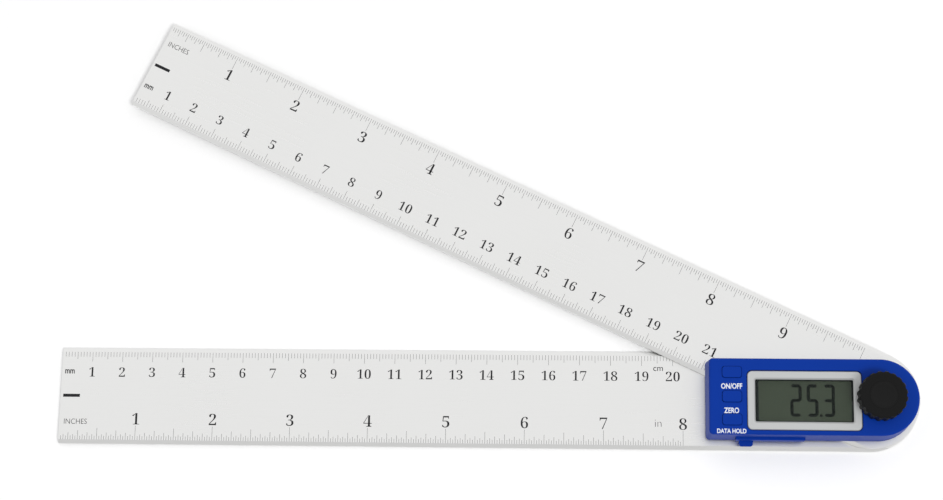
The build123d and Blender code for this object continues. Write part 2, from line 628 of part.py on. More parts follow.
def make_contact_minus():
    """A bent leaf under the board that presses on the cover of the cell."""
    foot_z = BOARD_Z - CONTACT_STRIP / 2
    touch_z = CELL_TOP + CONTACT_STRIP / 2 + THREAD_GAP
    line = Polyline(
        (CELL_X - MINUS_SLOPE - MINUS_FOOT, foot_z),
        (CELL_X - MINUS_SLOPE, foot_z),
        (CELL_X, touch_z),
        (CELL_X + MINUS_TOUCH, touch_z),
        (CELL_X + MINUS_TOUCH + MINUS_SLOPE / 2, (touch_z + foot_z) / 2),
    )
    leaf = extrude(Plane.XZ * trace(line, CONTACT_STRIP), CONTACT_WIDTH / 2, both=True)
    return leaf


def make_contact_plus():
    """A bent leaf that hangs from the board behind the tray and touches the can's side."""
    foot_z = BOARD_Z - CONTACT_STRIP / 2
    touch_y = CELL_RADIUS + CONTACT_STRIP / 2 + THREAD_GAP
    back_y = touch_y + PLUS_BACK
    middle_z = CELL_Z + CELL_HEIGHT / 2
    line = Polyline(
        (back_y - PLUS_FOOT, foot_z),
        (back_y, foot_z),
        (back_y, middle_z + PLUS_CROOK),
        (touch_y, middle_z),
        (back_y, middle_z - PLUS_CROOK),
    )
    leaf = extrude(Plane.YZ * trace(line, CONTACT_STRIP), CONTACT_WIDTH / 2, both=True)
    return Pos(CELL_X, 0, 0) * leaf


def make_lock_knob():
    """A moulded knob with flutes round its side and a hollow over the nut."""
    knob = disc(KNOB_RADIUS, KNOB_Z, KNOB_TOP)
    knob = fillet(knob.edges().group_by(Axis.Z)[-1], KNOB_ROUND)
    groove = KNOB_RADIUS + FLUTE_RADIUS - FLUTE_DEPTH
    for place in PolarLocations(groove, FLUTE_COUNT):
        knob -= place * disc(FLUTE_RADIUS, KNOB_Z, KNOB_TOP)
    knob -= disc(KNOB_HOLLOW_RADIUS, KNOB_Z, INSERT_Z)
    knob -= disc(INSERT_RADIUS, INSERT_Z, KNOB_TOP)
    return knob - disc(CAP_RADIUS + FIT_GAP, KNOB_TOP - CAP_THICKNESS, KNOB_TOP)


def make_knob_insert():
    ring = Circle(INSERT_RADIUS - THREAD_GAP) - Circle(THREAD_RADIUS + THREAD_GAP)
    return slab(ring, INSERT_Z, INSERT_TOP)


def make_knob_cap():
    """A disc with a shallow dish, pressed into the top of the knob."""
    cap = disc(CAP_RADIUS, KNOB_TOP - CAP_THICKNESS, KNOB_TOP)
    hollow = Pos(0, 0, KNOB_TOP) * Rot(180, 0, 0) * low_dome(CAP_DISH_RADIUS, CAP_DISH)
    return cap - hollow


PARTS = {
    "base_blade": make_base_blade(),
    "pivot_stud": make_pivot_stud(),
    "lower_washer": make_lower_washer(),
    "upper_washer": make_upper_washer(),
    "swing_blade": SWING * make_swing_blade(),
    "hub_bush": SWING * make_hub_bush(),
    "hub_screws": [SWING * screw for screw in make_hub_screws()],
    "sensor_rotor": SWING * make_sensor_rotor(),
    "case_bottom": make_case_bottom(),
    "case_top": make_case_top(),
    "case_screws": make_case_screws(),
    "key_bush": make_key_bush(),
    "spring_washer": make_spring_washer(),
    "retaining_nut": make_retaining_nut(),
    "display_bezel": make_display_bezel(),
    "display_window": make_display_window(),
    "lcd_panel": make_lcd_panel(),
    "contact_strips": make_contact_strips(),
    "circuit_board": make_circuit_board(),
    "board_screws": make_board_screws(),
    "measuring_chip": make_measuring_chip(),
    "quartz_crystal": make_quartz_crystal(),
    "key_domes": make_key_domes(),
    "battery_tray": make_battery_tray(),
    "coin_cell": make_coin_cell(),
    "contact_minus": make_contact_minus(),
    "contact_plus": make_contact_plus(),
    "lock_knob": make_lock_knob(),
    "knob_insert": make_knob_insert(),
    "knob_cap": make_knob_cap(),
}
PARTS.update({name: make_key(y) for name, y in KEY_Y.items()})

os.makedirs("parts", exist_ok=True)
for name, part in PARTS.items():
    solids = part if isinstance(part, list) else [part]
    export_step(Compound(children=solids), f"parts/{name}.step")
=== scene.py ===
import math

import bmesh
import bpy
from mathutils import Matrix, Vector


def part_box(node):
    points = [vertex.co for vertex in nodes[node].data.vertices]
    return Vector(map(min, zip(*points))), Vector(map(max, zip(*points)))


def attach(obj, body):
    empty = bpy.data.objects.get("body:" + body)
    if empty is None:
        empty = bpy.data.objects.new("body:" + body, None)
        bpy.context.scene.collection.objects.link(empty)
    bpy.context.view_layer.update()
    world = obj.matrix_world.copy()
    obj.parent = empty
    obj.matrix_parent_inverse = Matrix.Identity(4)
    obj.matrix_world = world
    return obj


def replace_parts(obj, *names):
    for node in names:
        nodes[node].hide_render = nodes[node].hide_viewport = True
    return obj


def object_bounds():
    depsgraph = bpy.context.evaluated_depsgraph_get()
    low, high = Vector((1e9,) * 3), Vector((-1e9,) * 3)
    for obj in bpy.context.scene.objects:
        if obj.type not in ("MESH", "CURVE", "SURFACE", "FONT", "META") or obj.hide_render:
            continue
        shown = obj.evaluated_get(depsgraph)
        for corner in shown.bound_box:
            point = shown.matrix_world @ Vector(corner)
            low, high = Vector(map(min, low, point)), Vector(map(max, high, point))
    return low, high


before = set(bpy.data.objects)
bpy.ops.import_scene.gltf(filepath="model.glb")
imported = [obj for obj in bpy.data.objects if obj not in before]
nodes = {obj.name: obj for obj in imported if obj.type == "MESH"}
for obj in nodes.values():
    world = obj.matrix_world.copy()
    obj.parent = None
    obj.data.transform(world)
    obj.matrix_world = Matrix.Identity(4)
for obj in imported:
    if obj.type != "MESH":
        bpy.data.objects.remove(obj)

cad_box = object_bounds()

# View: a long lens some 60 cm over the bench, tilted a little from straight down.
# The tilts are about X, Y and Z in turn, and the picture is 943 by 500 pixels.
MM = 0.001
PICTURE_WIDTH = 943
FOCAL_LENGTH_PIXELS = 1852.04
SENSOR_WIDTH = 36.0
NEAREST_SEEN = 10 * MM
CAMERA_PLACE = (-88.16 * MM, -72.08 * MM, 596.69 * MM)
CAMERA_TILTS = (-0.2016, -0.0661, -0.0171)

view = Matrix.Identity(3)
for tilt, axis in zip(CAMERA_TILTS, "XYZ"):
    view = view @ Matrix.Rotation(tilt, 3, axis)
lens = bpy.data.cameras.new("camera")
lens.sensor_width = SENSOR_WIDTH
lens.lens = FOCAL_LENGTH_PIXELS * SENSOR_WIDTH / PICTURE_WIDTH
lens.clip_start = NEAREST_SEEN
camera = bpy.data.objects.new("camera", lens)
camera.matrix_world = Matrix.Translation(CAMERA_PLACE) @ view.transposed().to_4x4()
bpy.context.scene.collection.objects.link(camera)
bpy.context.scene.camera = camera
bpy.context.scene.view_settings.view_transform = "Standard"

# Bench: a matt white sheet under the tool, in a white room that is darker in front. One
# broad lamp hangs high on the right and in front.
BENCH_WIDTH = 4.0
BENCH_DROP = 0.1 * MM
PAPER_COLOUR = (0.97, 0.97, 0.97, 1)
PAPER_ROUGHNESS = 0.9
PAPER_GLOSS = 0.1
ROOM_COLOUR = (1, 1, 1, 1)
ROOM_BRIGHTNESS = 0.86
FRONT_SHADE = 0.5  # how fast the room darkens towards -Y
LAMP_POWER = 8.0
LAMP_WIDTH = 0.45
LAMP_PLACE = Vector((0.45, -0.4, 1.25))
LAMP_TARGET = Vector((-0.1, 0, 0))


class Pattern:
    """One value in the nodes of a finish. Arithmetic on patterns adds Math nodes."""

    def __init__(self, tree, socket=None):
        self.tree = tree
        self.socket = socket

    def node(self, kind, settings, sockets, out=0):
        """Add a node of any kind: first its settings, then what its sockets take."""
        made = self.tree.nodes.new(kind)
        for name, value in settings.items():
            setattr(made, name, value)
        for name, value in sockets.items():
            if isinstance(value, Pattern):
                self.tree.links.new(value.socket, made.inputs[name])
            else:
                made.inputs[name].default_value = value
        return Pattern(self.tree, made.outputs[out])

    def math(self, operation, *others):
        values = (self, *others)
        return self.node("ShaderNodeMath", {"operation": operation}, dict(enumerate(values)))

    def __add__(self, other):
        return self.math("ADD", other)

    __radd__ = __add__

    def __mul__(self, other):
        return self.math("MULTIPLY", other)

    __rmul__ = __mul__


sheet = bmesh.new()
level = Matrix.Translation((0, 0, cad_box[0][2] - BENCH_DROP))
bmesh.ops.create_grid(sheet, x_segments=1, y_segments=1, size=BENCH_WIDTH / 2, matrix=level)
bench_mesh = bpy.data.meshes.new("bench")
sheet.to_mesh(bench_mesh)
sheet.free()
bench = bpy.data.objects.new("bench", bench_mesh)
bpy.context.scene.collection.objects.link(bench)
matt_white = bpy.data.materials.new("matt_white")
matt_white.use_nodes = True
paper = matt_white.node_tree.nodes["Principled BSDF"]
paper.inputs["Base Color"].default_value = PAPER_COLOUR
paper.inputs["Roughness"].default_value = PAPER_ROUGHNESS
paper.inputs["Specular IOR Level"].default_value = PAPER_GLOSS
bench_mesh.materials.append(matt_white)

room = bpy.data.worlds.new("room")
room.use_nodes = True
background = room.node_tree.nodes["Background"]
background.inputs["Color"].default_value = ROOM_COLOUR
sky = Pattern(room.node_tree).node("ShaderNodeTexCoord", {}, {}, "Generated")
forward = sky.node("ShaderNodeSeparateXYZ", {}, {"Vector": sky}, "Y")
darkening = forward * FRONT_SHADE + 1
brightness = darkening.math("MINIMUM", 1) * ROOM_BRIGHTNESS
room.node_tree.links.new(brightness.socket, background.inputs["Strength"])
bpy.context.scene.world = room
lamp_light = bpy.data.lights.new("lamp", "AREA")
lamp_light.shape = "DISK"
lamp_light.size = LAMP_WIDTH
lamp_light.energy = LAMP_POWER
lamp = bpy.data.objects.new("lamp", lamp_light)
aim = (LAMP_TARGET - LAMP_PLACE).to_track_quat("-Z", "Y")
lamp.matrix_world = Matrix.Translation(LAMP_PLACE) @ aim.to_matrix().to_4x4()
lamp.visible_glossy = False
bpy.context.scene.collection.objects.link(lamp)

# Base blade: a rule blanked from stainless sheet, brushed along its length, with both long
# edges of its upper face ground off. Its two scales are etched in the top face and filled
# with dark ink, zero at the square end.
STEEL_DARK = (0.90, 0.90, 0.89)
STEEL_LIGHT = (0.97, 0.97, 0.96)
STEEL_ROUGHNESS = 0.30
SCRATCHES = (60, 4500, 4500)  # per metre along and across the blade
SCRATCH_SPREAD = 0.12
SCRATCH_DEPTH = 0.002 * MM
CLOUDS_PER_METRE = 25
CLOUD_SPREAD = 0.08
PLAIN_DETAIL = 2.0
FINE_DETAIL = 4.0
BEVEL_WIDTH = 1.3 * MM
BEVEL_DEPTH = 0.45 * MM
MERGE_REACH = 0.001 * MM
CUT_REACH = 0.0001 * MM
MIX_FACTOR = 0
MIX_FIRST = 6
MIX_SECOND = 7
MIX_RESULT = 2
INK_COLOUR = (0.008, 0.008, 0.009)
INK_WORN = (0.035, 0.035, 0.038)
INK_ROUGHNESS = 0.6
INK_SPREAD = 0.2
INK_GLOSS = 0.1
INK_SPOTS_PER_METRE = 1500
INK_DEPTH = 0.03 * MM
INK_PROUD = 0.01 * MM
INCH = 25.4 * MM
CENTIMETRE = 10 * MM
BASE_SCALE_ENDS = (200 * MM, 8 * INCH)
COUNT_SLACK = 0.01  # keeps a whole number of steps whole
CENTIMETRE_TICKS = ((10, 3.2 * MM), (5, 2.4 * MM), (1, 1.6 * MM))
INCH_PARTS = 32
INCH_TICKS = (
    (32, 4.6 * MM),
    (16, 3.8 * MM),
    (8, 3.0 * MM),
    (4, 2.3 * MM),
    (2, 1.7 * MM),
    (1, 1.2 * MM),
)
TICK_WIDTH = 0.09 * MM
CENTIMETRE_NUMERAL_Y = 7.8 * MM
INCH_NUMERAL_Y = 7.5 * MM
CENTIMETRE_NUMERAL_HEIGHT = 3.1 * MM
INCH_NUMERAL_HEIGHT = 3.7 * MM
NUMERAL_WEIGHT = -0.012
SERIF_ZERO = 0x1D7CE  # the first of the serif figures in the built-in lettering
LETTER_STEPS = 4
# Words: how far from the square end and from the middle line, then height, width and weight.
INCHES_WORD = (5.4 * MM, 8.5 * MM, 1.7 * MM, 7.6 * MM, -0.01)
MM_WORD = (2.6 * MM, 7.9 * MM, 1.4 * MM, 3.2 * MM, 0.02)
CM_WORD = (195.3 * MM, 10.2 * MM, 1.3 * MM, None, 0.0)
IN_WORD = (195.3 * MM, 7.3 * MM, 2.2 * MM, None, -0.02)
DASH_START = 0.8 * MM
DASH_LENGTH = 5.6 * MM
DASH_WIDTH = 1.0 * MM


def make_finish(name, recipe, *details):
    """A material whose recipe gives what the sockets of its shader take."""
    material = bpy.data.materials.new(name)
    material.use_nodes = True
    tree = material.node_tree
    place = Pattern(tree).node("ShaderNodeTexCoord", {}, {}, "Object")
    shader = tree.nodes["Principled BSDF"]
    for socket, value in recipe(place, *details).items():
        if isinstance(value, Pattern):
            tree.links.new(value.socket, shader.inputs[socket])
        else:
            shader.inputs[socket].default_value = value
    return material


def noise(place, scale, detail=PLAIN_DETAIL):
    return place.node("ShaderNodeTexNoise", {}, {"Vector": place, "Scale": scale, "Detail": detail})


def stretched(place, scale, turn=0.0):
    """Coordinates turned with a piece, then scaled apart along its length and across it."""
    turned = place.node("ShaderNodeMapping", {}, {"Vector": place, "Rotation": (0, 0, turn)})
    return place.node("ShaderNodeMapping", {}, {"Vector": turned, "Scale": scale})


def blend_colours(mask, first, second):
    """The first colour where the mask is 0, the second where it is 1."""
    sockets = {MIX_FACTOR: mask, MIX_FIRST: (*first, 1), MIX_SECOND: (*second, 1)}
    return mask.node("ShaderNodeMix", {"data_type": "RGBA"}, sockets, MIX_RESULT)


def around(middle, pattern, spread):
    """A value that wanders about its middle as the pattern goes from 0 to 1."""
    return pattern * spread + (middle - spread / 2)


def relief(height, depth):
    return height.node("ShaderNodeBump", {}, {"Height": height, "Distance": depth})


def brushed_steel(place, turn):
    """Fine scratches along the blade over the faint clouding of rolled sheet."""
    scratches = noise(stretched(place, SCRATCHES, turn), 1.0, FINE_DETAIL)
    clouds = noise(place, CLOUDS_PER_METRE)
    scratched = around(STEEL_ROUGHNESS, scratches, SCRATCH_SPREAD)
    return {
        "Base Color": blend_colours((scratches + clouds) * 0.5, STEEL_DARK, STEEL_LIGHT),
        "Roughness": scratched + around(0.0, clouds, CLOUD_SPREAD),
        "Metallic": 1.0,
        "Normal": relief(scratches, SCRATCH_DEPTH),
    }


def ink(place, fresh, worn):
    """Ink that has thinned a little in places."""
    thin = noise(place, INK_SPOTS_PER_METRE)
    return {
        "Base Color": blend_colours(thin, fresh, worn),
        "Roughness": around(INK_ROUGHNESS, thin, INK_SPREAD),
        "Specular IOR Level": INK_GLOSS,
    }


def finish_piece(shape, name, finish, body):
    """Turn the faces outwards, put the shape in the scene and let it ride on a body."""
    bmesh.ops.recalc_face_normals(shape, faces=shape.faces)
    mesh = bpy.data.meshes.new(name)
    shape.to_mesh(mesh)
    shape.free()
    mesh.materials.append(finish)
    piece = bpy.data.objects.new(name, mesh)
    bpy.context.scene.collection.objects.link(piece)
    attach(piece, body)
    return piece


def grind_blade(name, node, body, top, turn):
    """A blade as it leaves the press, with both long edges of its upper face ground off."""
    shape = bmesh.new()
    shape.from_mesh(nodes[node].data)
    bmesh.ops.remove_doubles(shape, verts=shape.verts, dist=MERGE_REACH)
    about_pivot = Matrix.Rotation(turn, 3, "Z")
    for side in (-1, 1):
        cut = bmesh.ops.bisect_plane(
            shape,
            geom=shape.verts[:] + shape.edges[:] + shape.faces[:],
            dist=CUT_REACH,
            plane_co=about_pivot @ Vector((0, side * (blade_edge - BEVEL_WIDTH), top)),
            plane_no=about_pivot @ Vector((0, side * BEVEL_DEPTH, BEVEL_WIDTH)),
            clear_outer=True,
        )
        rim = [item for item in cut["geom_cut"] if isinstance(item, bmesh.types.BMEdge)]
        bmesh.ops.edgeloop_fill(shape, edges=rim)
    for face in shape.faces:
        face.smooth = False
    steel = make_finish(name + "_steel", brushed_steel, -turn)
    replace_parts(finish_piece(shape, name, steel, body), node)


def add_bar(shape, x, y, length, width):
    """A flat bar, its middle at x and y."""
    place = Matrix.Translation((x, y, 0)) @ Matrix.Diagonal((length, width, 1, 1))
    bmesh.ops.create_grid(shape, x_segments=1, y_segments=1, size=0.5, matrix=place)


def add_lettering(shape, words, height, x, y, weight, width=None):
    """Flat letters, their middle at x and y; width stretches or narrows them."""
    lettering = bpy.data.curves.new("lettering", "FONT")
    lettering.body = words
    lettering.offset = weight
    lettering.resolution_u = LETTER_STEPS
    holder = bpy.data.objects.new("lettering", lettering)
    letters = bpy.data.meshes.new_from_object(holder)
    first = len(shape.verts)
    shape.from_mesh(letters)
    shape.verts.ensure_lookup_table()
    points = shape.verts[first:]
    low = Vector((min(point.co.x for point in points), min(point.co.y for point in points), 0))
    high = Vector((max(point.co.x for point in points), max(point.co.y for point in points), 0))
    tall = height / (high.y - low.y)
    wide = width / (high.x - low.x) if width else tall
    bmesh.ops.translate(shape, verts=points, vec=-(low + high) / 2)
    bmesh.ops.scale(shape, verts=points, vec=(wide, tall, 1))
    bmesh.ops.translate(shape, verts=points, vec=(x, y, 0))
    bpy.data.objects.remove(holder)
    bpy.data.meshes.remove(letters)


def raise_flat(shape, low, high):
    """Give a flat shape at height 0 its thickness."""
    bmesh.ops.solidify(shape, geom=shape.faces[:], thickness=high - low)
    bottom = min(point.co.z for point in shape.verts)
    bmesh.ops.translate(shape, verts=shape.verts, vec=(0, 0, low - bottom))


def steps_to(reach, step):
    """The steps of a scale, counted from 1."""
    return range(1, int(reach / step + COUNT_SLACK) + 1)


def add_ticks(shape, step, lengths, side, reach):
    """Ticks that stand on one long edge, counted from the square end."""
    edge = blade_edge - BEVEL_WIDTH
    for count in steps_to(reach, step):
        length = next(length for every, length in lengths if count % every == 0)
        place = side * (edge - length / 2)
        add_bar(shape, blade_end + count * step, place, TICK_WIDTH, length)


def add_numerals(shape, step, y, height, reach):
    for count in steps_to(reach, step):
        figures = "".join(chr(SERIF_ZERO + int(digit)) for digit in str(count))
        add_lettering(shape, figures, height, blade_end + count * step, y, NUMERAL_WEIGHT)


def etch_blade(name, body, metric_side, scale_ends, top, turn, words_repeat):
    """Both scales of one blade, with their figures, unit words and centre dash."""
    shape = bmesh.new()
    inch_side = -metric_side
    metric_end, inch_end = scale_ends
    metric_y = metric_side * CENTIMETRE_NUMERAL_Y
    inch_y = inch_side * INCH_NUMERAL_Y
    add_ticks(shape, MM, CENTIMETRE_TICKS, metric_side, metric_end)
    add_ticks(shape, INCH / INCH_PARTS, INCH_TICKS, inch_side, inch_end)
    add_numerals(shape, CENTIMETRE, metric_y, CENTIMETRE_NUMERAL_HEIGHT, metric_end)
    add_numerals(shape, INCH, inch_y, INCH_NUMERAL_HEIGHT, inch_end)
    words = (("INCHES", inch_side, INCHES_WORD), ("mm", metric_side, MM_WORD))
    if words_repeat:
        words += (("cm", metric_side, CM_WORD), ("in", inch_side, IN_WORD))
    for word, side, (x, y, height, width, weight) in words:
        add_lettering(shape, word, height, blade_end + x, side * y, weight, width)
    add_bar(shape, blade_end + DASH_START + DASH_LENGTH / 2, 0, DASH_LENGTH, DASH_WIDTH)
    raise_flat(shape, top + INK_PROUD - INK_DEPTH, top + INK_PROUD)
    bmesh.ops.rotate(shape, verts=shape.verts, matrix=Matrix.Rotation(turn, 3, "Z"))
    finish_piece(shape, name, etched_ink, body)


blade_low, blade_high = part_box("base_blade")
blade_edge = blade_high.y
blade_end = blade_low.x
etched_ink = make_finish("etched_ink", ink, INK_COLOUR, INK_WORN)
grind_blade("base_rule", "base_blade", "base", blade_high.z, 0.0)
etch_blade("base_scales", "base", 1, BASE_SCALE_ENDS, blade_high.z, 0.0, True)

# Pivot stud: turned from stainless bar, its head flush in the underside of the base
# blade. Thin slippery washers part the two blades, and the swing blade from the case.
STUD_COLOUR = (0.60, 0.60, 0.61)
STUD_ROUGHNESS = 0.3
RING_PITCH = 0.12 * MM
RING_DEPTH = 0.002 * MM
RING_SPREAD = 0.04
TARNISH_PER_METRE = 300
TARNISH_SPREAD = 0.1
TARNISH_SHADE = 0.85
WASHER_COLOUR = (0.90, 0.90, 0.88)
WASHER_ROUGHNESS = 0.5
WASHER_GLOSS = 0.3
PITS_PER_METRE = 5200
PIT_SPREAD = 0.14
PIT_DEPTH = 0.006 * MM
FLOW_PER_METRE = 55
FLOW_SHADE = 0.88


def dress(finish, *names):
    """Give pieces of the frame their finish."""
    for name in names:
        for slot in nodes[name].material_slots:
            slot.material = finish


def darkened(colour, share):
    return tuple(share * part for part in colour)


def turned_metal(place, colour, roughness):
    """Tool rings about the pivot axis."""
    flat = place.node("ShaderNodeVectorMath", {"operation": "MULTIPLY"}, {0: place, 1: (1, 1, 0)})
    radius = flat.node("ShaderNodeVectorMath", {"operation": "LENGTH"}, {0: flat}, "Value")
    rings = (radius * (2 * math.pi / RING_PITCH)).math("SINE")
    tarnish = noise(place, TARNISH_PER_METRE)
    return {
        "Base Color": blend_colours(tarnish, darkened(colour, TARNISH_SHADE), colour),
        "Roughness": rings * RING_SPREAD + around(roughness, tarnish, TARNISH_SPREAD),
        "Metallic": 1.0,
        "Normal": relief(rings, RING_DEPTH),
    }


def moulded(place, colour, roughness, gloss):
    """Moulded plastic with the fine pitting of a spark-eroded mould."""
    pits = noise(place, PITS_PER_METRE)
    flow = noise(place, FLOW_PER_METRE)
    return {
        "Base Color": blend_colours(flow, darkened(colour, FLOW_SHADE), colour),
        "Roughness": around(roughness, pits, PIT_SPREAD),
        "Specular IOR Level": gloss,
        "Normal": relief(pits, PIT_DEPTH),
    }


dress(make_finish("turned_stud", turned_metal, STUD_COLOUR, STUD_ROUGHNESS), "pivot_stud")
slip_sheet = make_finish("slip_sheet", moulded, WASHER_COLOUR, WASHER_ROUGHNESS, WASHER_GLOSS)
dress(slip_sheet, "lower_washer", "upper_washer")

# Swing blade: a rule of the same blank as the base blade, opened about the pivot. Three
# screws hold it to a brass bush that runs on the stud and carries the sensor rotor.
OPEN_ANGLE = math.radians(25.3)
SWING_SCALE_ENDS = (214 * MM, 10 * INCH)
BRASS_COLOUR = (0.76, 0.58, 0.28)
BUSH_ROUGHNESS = 0.28
ROTOR_COLOUR = (0.03, 0.16, 0.07)
ROTOR_ROUGHNESS = 0.4
ROTOR_GLOSS = 0.4
SCREW_COLOUR = (0.52, 0.53, 0.55)
SCREW_ROUGHNESS = 0.35
MARKS_PER_METRE = 900
MARK_SPREAD = 0.2
MARK_SHADE = 0.8
MARK_DEPTH = 0.004 * MM


def plated(place, colour, roughness):
    """Bright plating with faint handling marks."""
    marks = noise(place, MARKS_PER_METRE, FINE_DETAIL)
    return {
        "Base Color": blend_colours(marks, darkened(colour, MARK_SHADE), colour),
        "Roughness": around(roughness, marks, MARK_SPREAD),
        "Metallic": 1.0,
        "Normal": relief(marks, MARK_DEPTH),
    }


swing_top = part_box("swing_blade")[1].z
grind_blade("swing_rule", "swing_blade", "swing_blade", swing_top, -OPEN_ANGLE)
etch_blade("swing_scales", "swing_blade", -1, SWING_SCALE_ENDS, swing_top, -OPEN_ANGLE, False)
dress(make_finish("turned_brass", turned_metal, BRASS_COLOUR, BUSH_ROUGHNESS), "hub_bush")
rotor_board = make_finish("rotor_board", moulded, ROTOR_COLOUR, ROTOR_ROUGHNESS, ROTOR_GLOSS)
dress(rotor_board, "sensor_rotor")
plated_screw = make_finish("plated_screw", plated, SCREW_COLOUR, SCREW_ROUGHNESS)
dress(plated_screw, "hub_screws")

# Case: two halves moulded in blue plastic and screwed together from below, with the
# parting line a little under half height.
BLUE = (0.001, 0.034, 0.31)
BLUE_ROUGHNESS = 0.45
BLUE_GLOSS = 0.1

blue_moulding = make_finish("blue_moulding", moulded, BLUE, BLUE_ROUGHNESS, BLUE_GLOSS)
dress(blue_moulding, "case_bottom", "case_top")
dress(plated_screw, "case_screws")

# Circuit board: glass laminate with a green mask. It carries the bonded chip under its
# drop of resin, the quartz can and the three key domes, and screws hold it down.
MASK_COLOUR = (0.012, 0.13, 0.045)
MASK_ROUGHNESS = 0.35
TRACK_COLOUR = (0.03, 0.24, 0.08)
TRACKS_PER_METRE = 700
TRACK_STAGGER = 0.5
TRACK_WIDTH = 0.06
TRACK_SPACING = 0.6
TRACK_SPREAD = 0.1
TRACK_DEPTH = 0.03 * MM
RESIN_COLOUR = (0.012, 0.012, 0.012)
RESIN_ROUGHNESS = 0.25
RESIN_GLOSS = 0.5
DOME_COLOUR = (0.72, 0.70, 0.62)
POLISHED = 0.25


def solder_mask(place):
    """Copper tracks that show as paler lines through the mask."""
    sizes = {"Scale": TRACKS_PER_METRE, "Mortar Size": TRACK_WIDTH, "Row Height": TRACK_SPACING}
    sockets = {"Vector": place, **sizes}
    tracks = place.node("ShaderNodeTexBrick", {"offset": TRACK_STAGGER}, sockets, "Fac")
    return {
        "Base Color": blend_colours(tracks, MASK_COLOUR, TRACK_COLOUR),
        "Roughness": around(MASK_ROUGHNESS, tracks, TRACK_SPREAD),
        "Normal": relief(tracks, TRACK_DEPTH),
    }


dress(make_finish("board_mask", solder_mask), "circuit_board")
dress(plated_screw, "board_screws")
resin_drop = make_finish("resin_drop", moulded, RESIN_COLOUR, RESIN_ROUGHNESS, RESIN_GLOSS)
dress(resin_drop, "measuring_chip")
dress(make_finish("quartz_can", plated, SCREW_COLOUR, POLISHED), "quartz_crystal")
dress(make_finish("dome_steel", plated, DOME_COLOUR, POLISHED), "key_domes")

# Display panel: two bonded glasses under a matt film, on strips of conductive rubber. Its
# three figures have seven segments each, with the point before the last.
GLASS_DARK = (0.058, 0.076, 0.048)
GLASS_LIGHT = (0.076, 0.099, 0.063)
FILM_ROUGHNESS = 0.35
FILM_GLOSS = 0.3
STREAKS = (200, 2600, 1)  # per metre along and across the panel
STREAK_SPREAD = 0.1
RUBBER_COLOUR = (0.55, 0.22, 0.28)
RUBBER_ROUGHNESS = 0.7
RUBBER_GLOSS = 0.3
SEGMENT_COLOUR = (0.001, 0.0015, 0.001)
SEGMENT_WIDTH = 1.0 * MM
SEGMENT_LAP = 0.35 * MM  # past the corners of a figure
SEGMENT_THICKNESS = 0.04 * MM
HEXAGON_WIDTH = math.sqrt(3)  # over the flats, at a radius of 1
FIGURE_HEIGHT = 10.2 * MM
FIGURE_WIDTH = 3.6 * MM
FIGURE_PITCH = 5.15 * MM
FIGURE_MIDDLE = Vector((-20.9 * MM, -0.95 * MM))
POINT_WIDTH = 0.8 * MM
READING = "253"
LIT_SEGMENTS = {
    "2": "top upper_right middle lower_left bottom",
    "5": "top upper_left middle lower_right bottom",
    "3": "top upper_right middle lower_right bottom",
}


def polariser(place):
    """Matt film over the panel, streaked a little along its length."""
    streaks = noise(stretched(place, STREAKS), 1.0)
    return {
        "Base Color": blend_colours(streaks, GLASS_DARK, GLASS_LIGHT),
        "Roughness": around(FILM_ROUGHNESS, streaks, STREAK_SPREAD),
        "Specular IOR Level": FILM_GLOSS,
    }


def add_segment(shape, x, y, length, turn):
    """A bar with pointed ends, lying across or turned upright."""
    point_sideways = Matrix.Rotation(math.pi / 2, 4, "Z")
    made = bmesh.ops.create_circle(
        shape, cap_ends=True, segments=6, radius=SEGMENT_WIDTH, matrix=point_sideways
    )
    points = made["verts"]
    bmesh.ops.scale(shape, verts=points, vec=(1, 1 / HEXAGON_WIDTH, 1))
    for point in points:
        point.co.x += math.copysign(length / 2 - SEGMENT_WIDTH, point.co.x)
    bmesh.ops.rotate(shape, verts=points, matrix=Matrix.Rotation(turn, 3, "Z"))
    bmesh.ops.translate(shape, verts=points, vec=(x, y, 0))


def add_figure(shape, figure, x, y):
    """One figure of the display, its middle at x and y."""
    right = (FIGURE_WIDTH - SEGMENT_WIDTH) / 2
    top = (FIGURE_HEIGHT - SEGMENT_WIDTH) / 2
    upright = math.pi / 2
    places = {
        "top": (0, top, 2 * right, 0),
        "middle": (0, 0, 2 * right, 0),
        "bottom": (0, -top, 2 * right, 0),
        "upper_left": (-right, top / 2, top, upright),
        "upper_right": (right, top / 2, top, upright),
        "lower_left": (-right, -top / 2, top, upright),
        "lower_right": (right, -top / 2, top, upright),
    }
    for name in LIT_SEGMENTS[figure].split():
        across, up, length, turn = places[name]
        add_segment(shape, x + across, y + up, length + SEGMENT_LAP, turn)


dress(make_finish("display_glass", polariser), "lcd_panel")
strip_rubber = make_finish("strip_rubber", moulded, RUBBER_COLOUR, RUBBER_ROUGHNESS, RUBBER_GLOSS)
dress(strip_rubber, "contact_strips")
reading = bmesh.new()
for place_number, figure in enumerate(READING):
    figure_x = FIGURE_MIDDLE.x + (place_number - 1) * FIGURE_PITCH
    add_figure(reading, figure, figure_x, FIGURE_MIDDLE.y)
point_x = FIGURE_MIDDLE.x + FIGURE_PITCH / 2
point_y = FIGURE_MIDDLE.y - (FIGURE_HEIGHT - POINT_WIDTH) / 2
add_bar(reading, point_x, point_y, POINT_WIDTH, POINT_WIDTH)
glass_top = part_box("lcd_panel")[1].z
raise_flat(reading, glass_top, glass_top + SEGMENT_THICKNESS)
segment_black = make_finish("segment_black", ink, SEGMENT_COLOUR, SEGMENT_COLOUR)
finish_piece(reading, "display_figures", segment_black, "base")

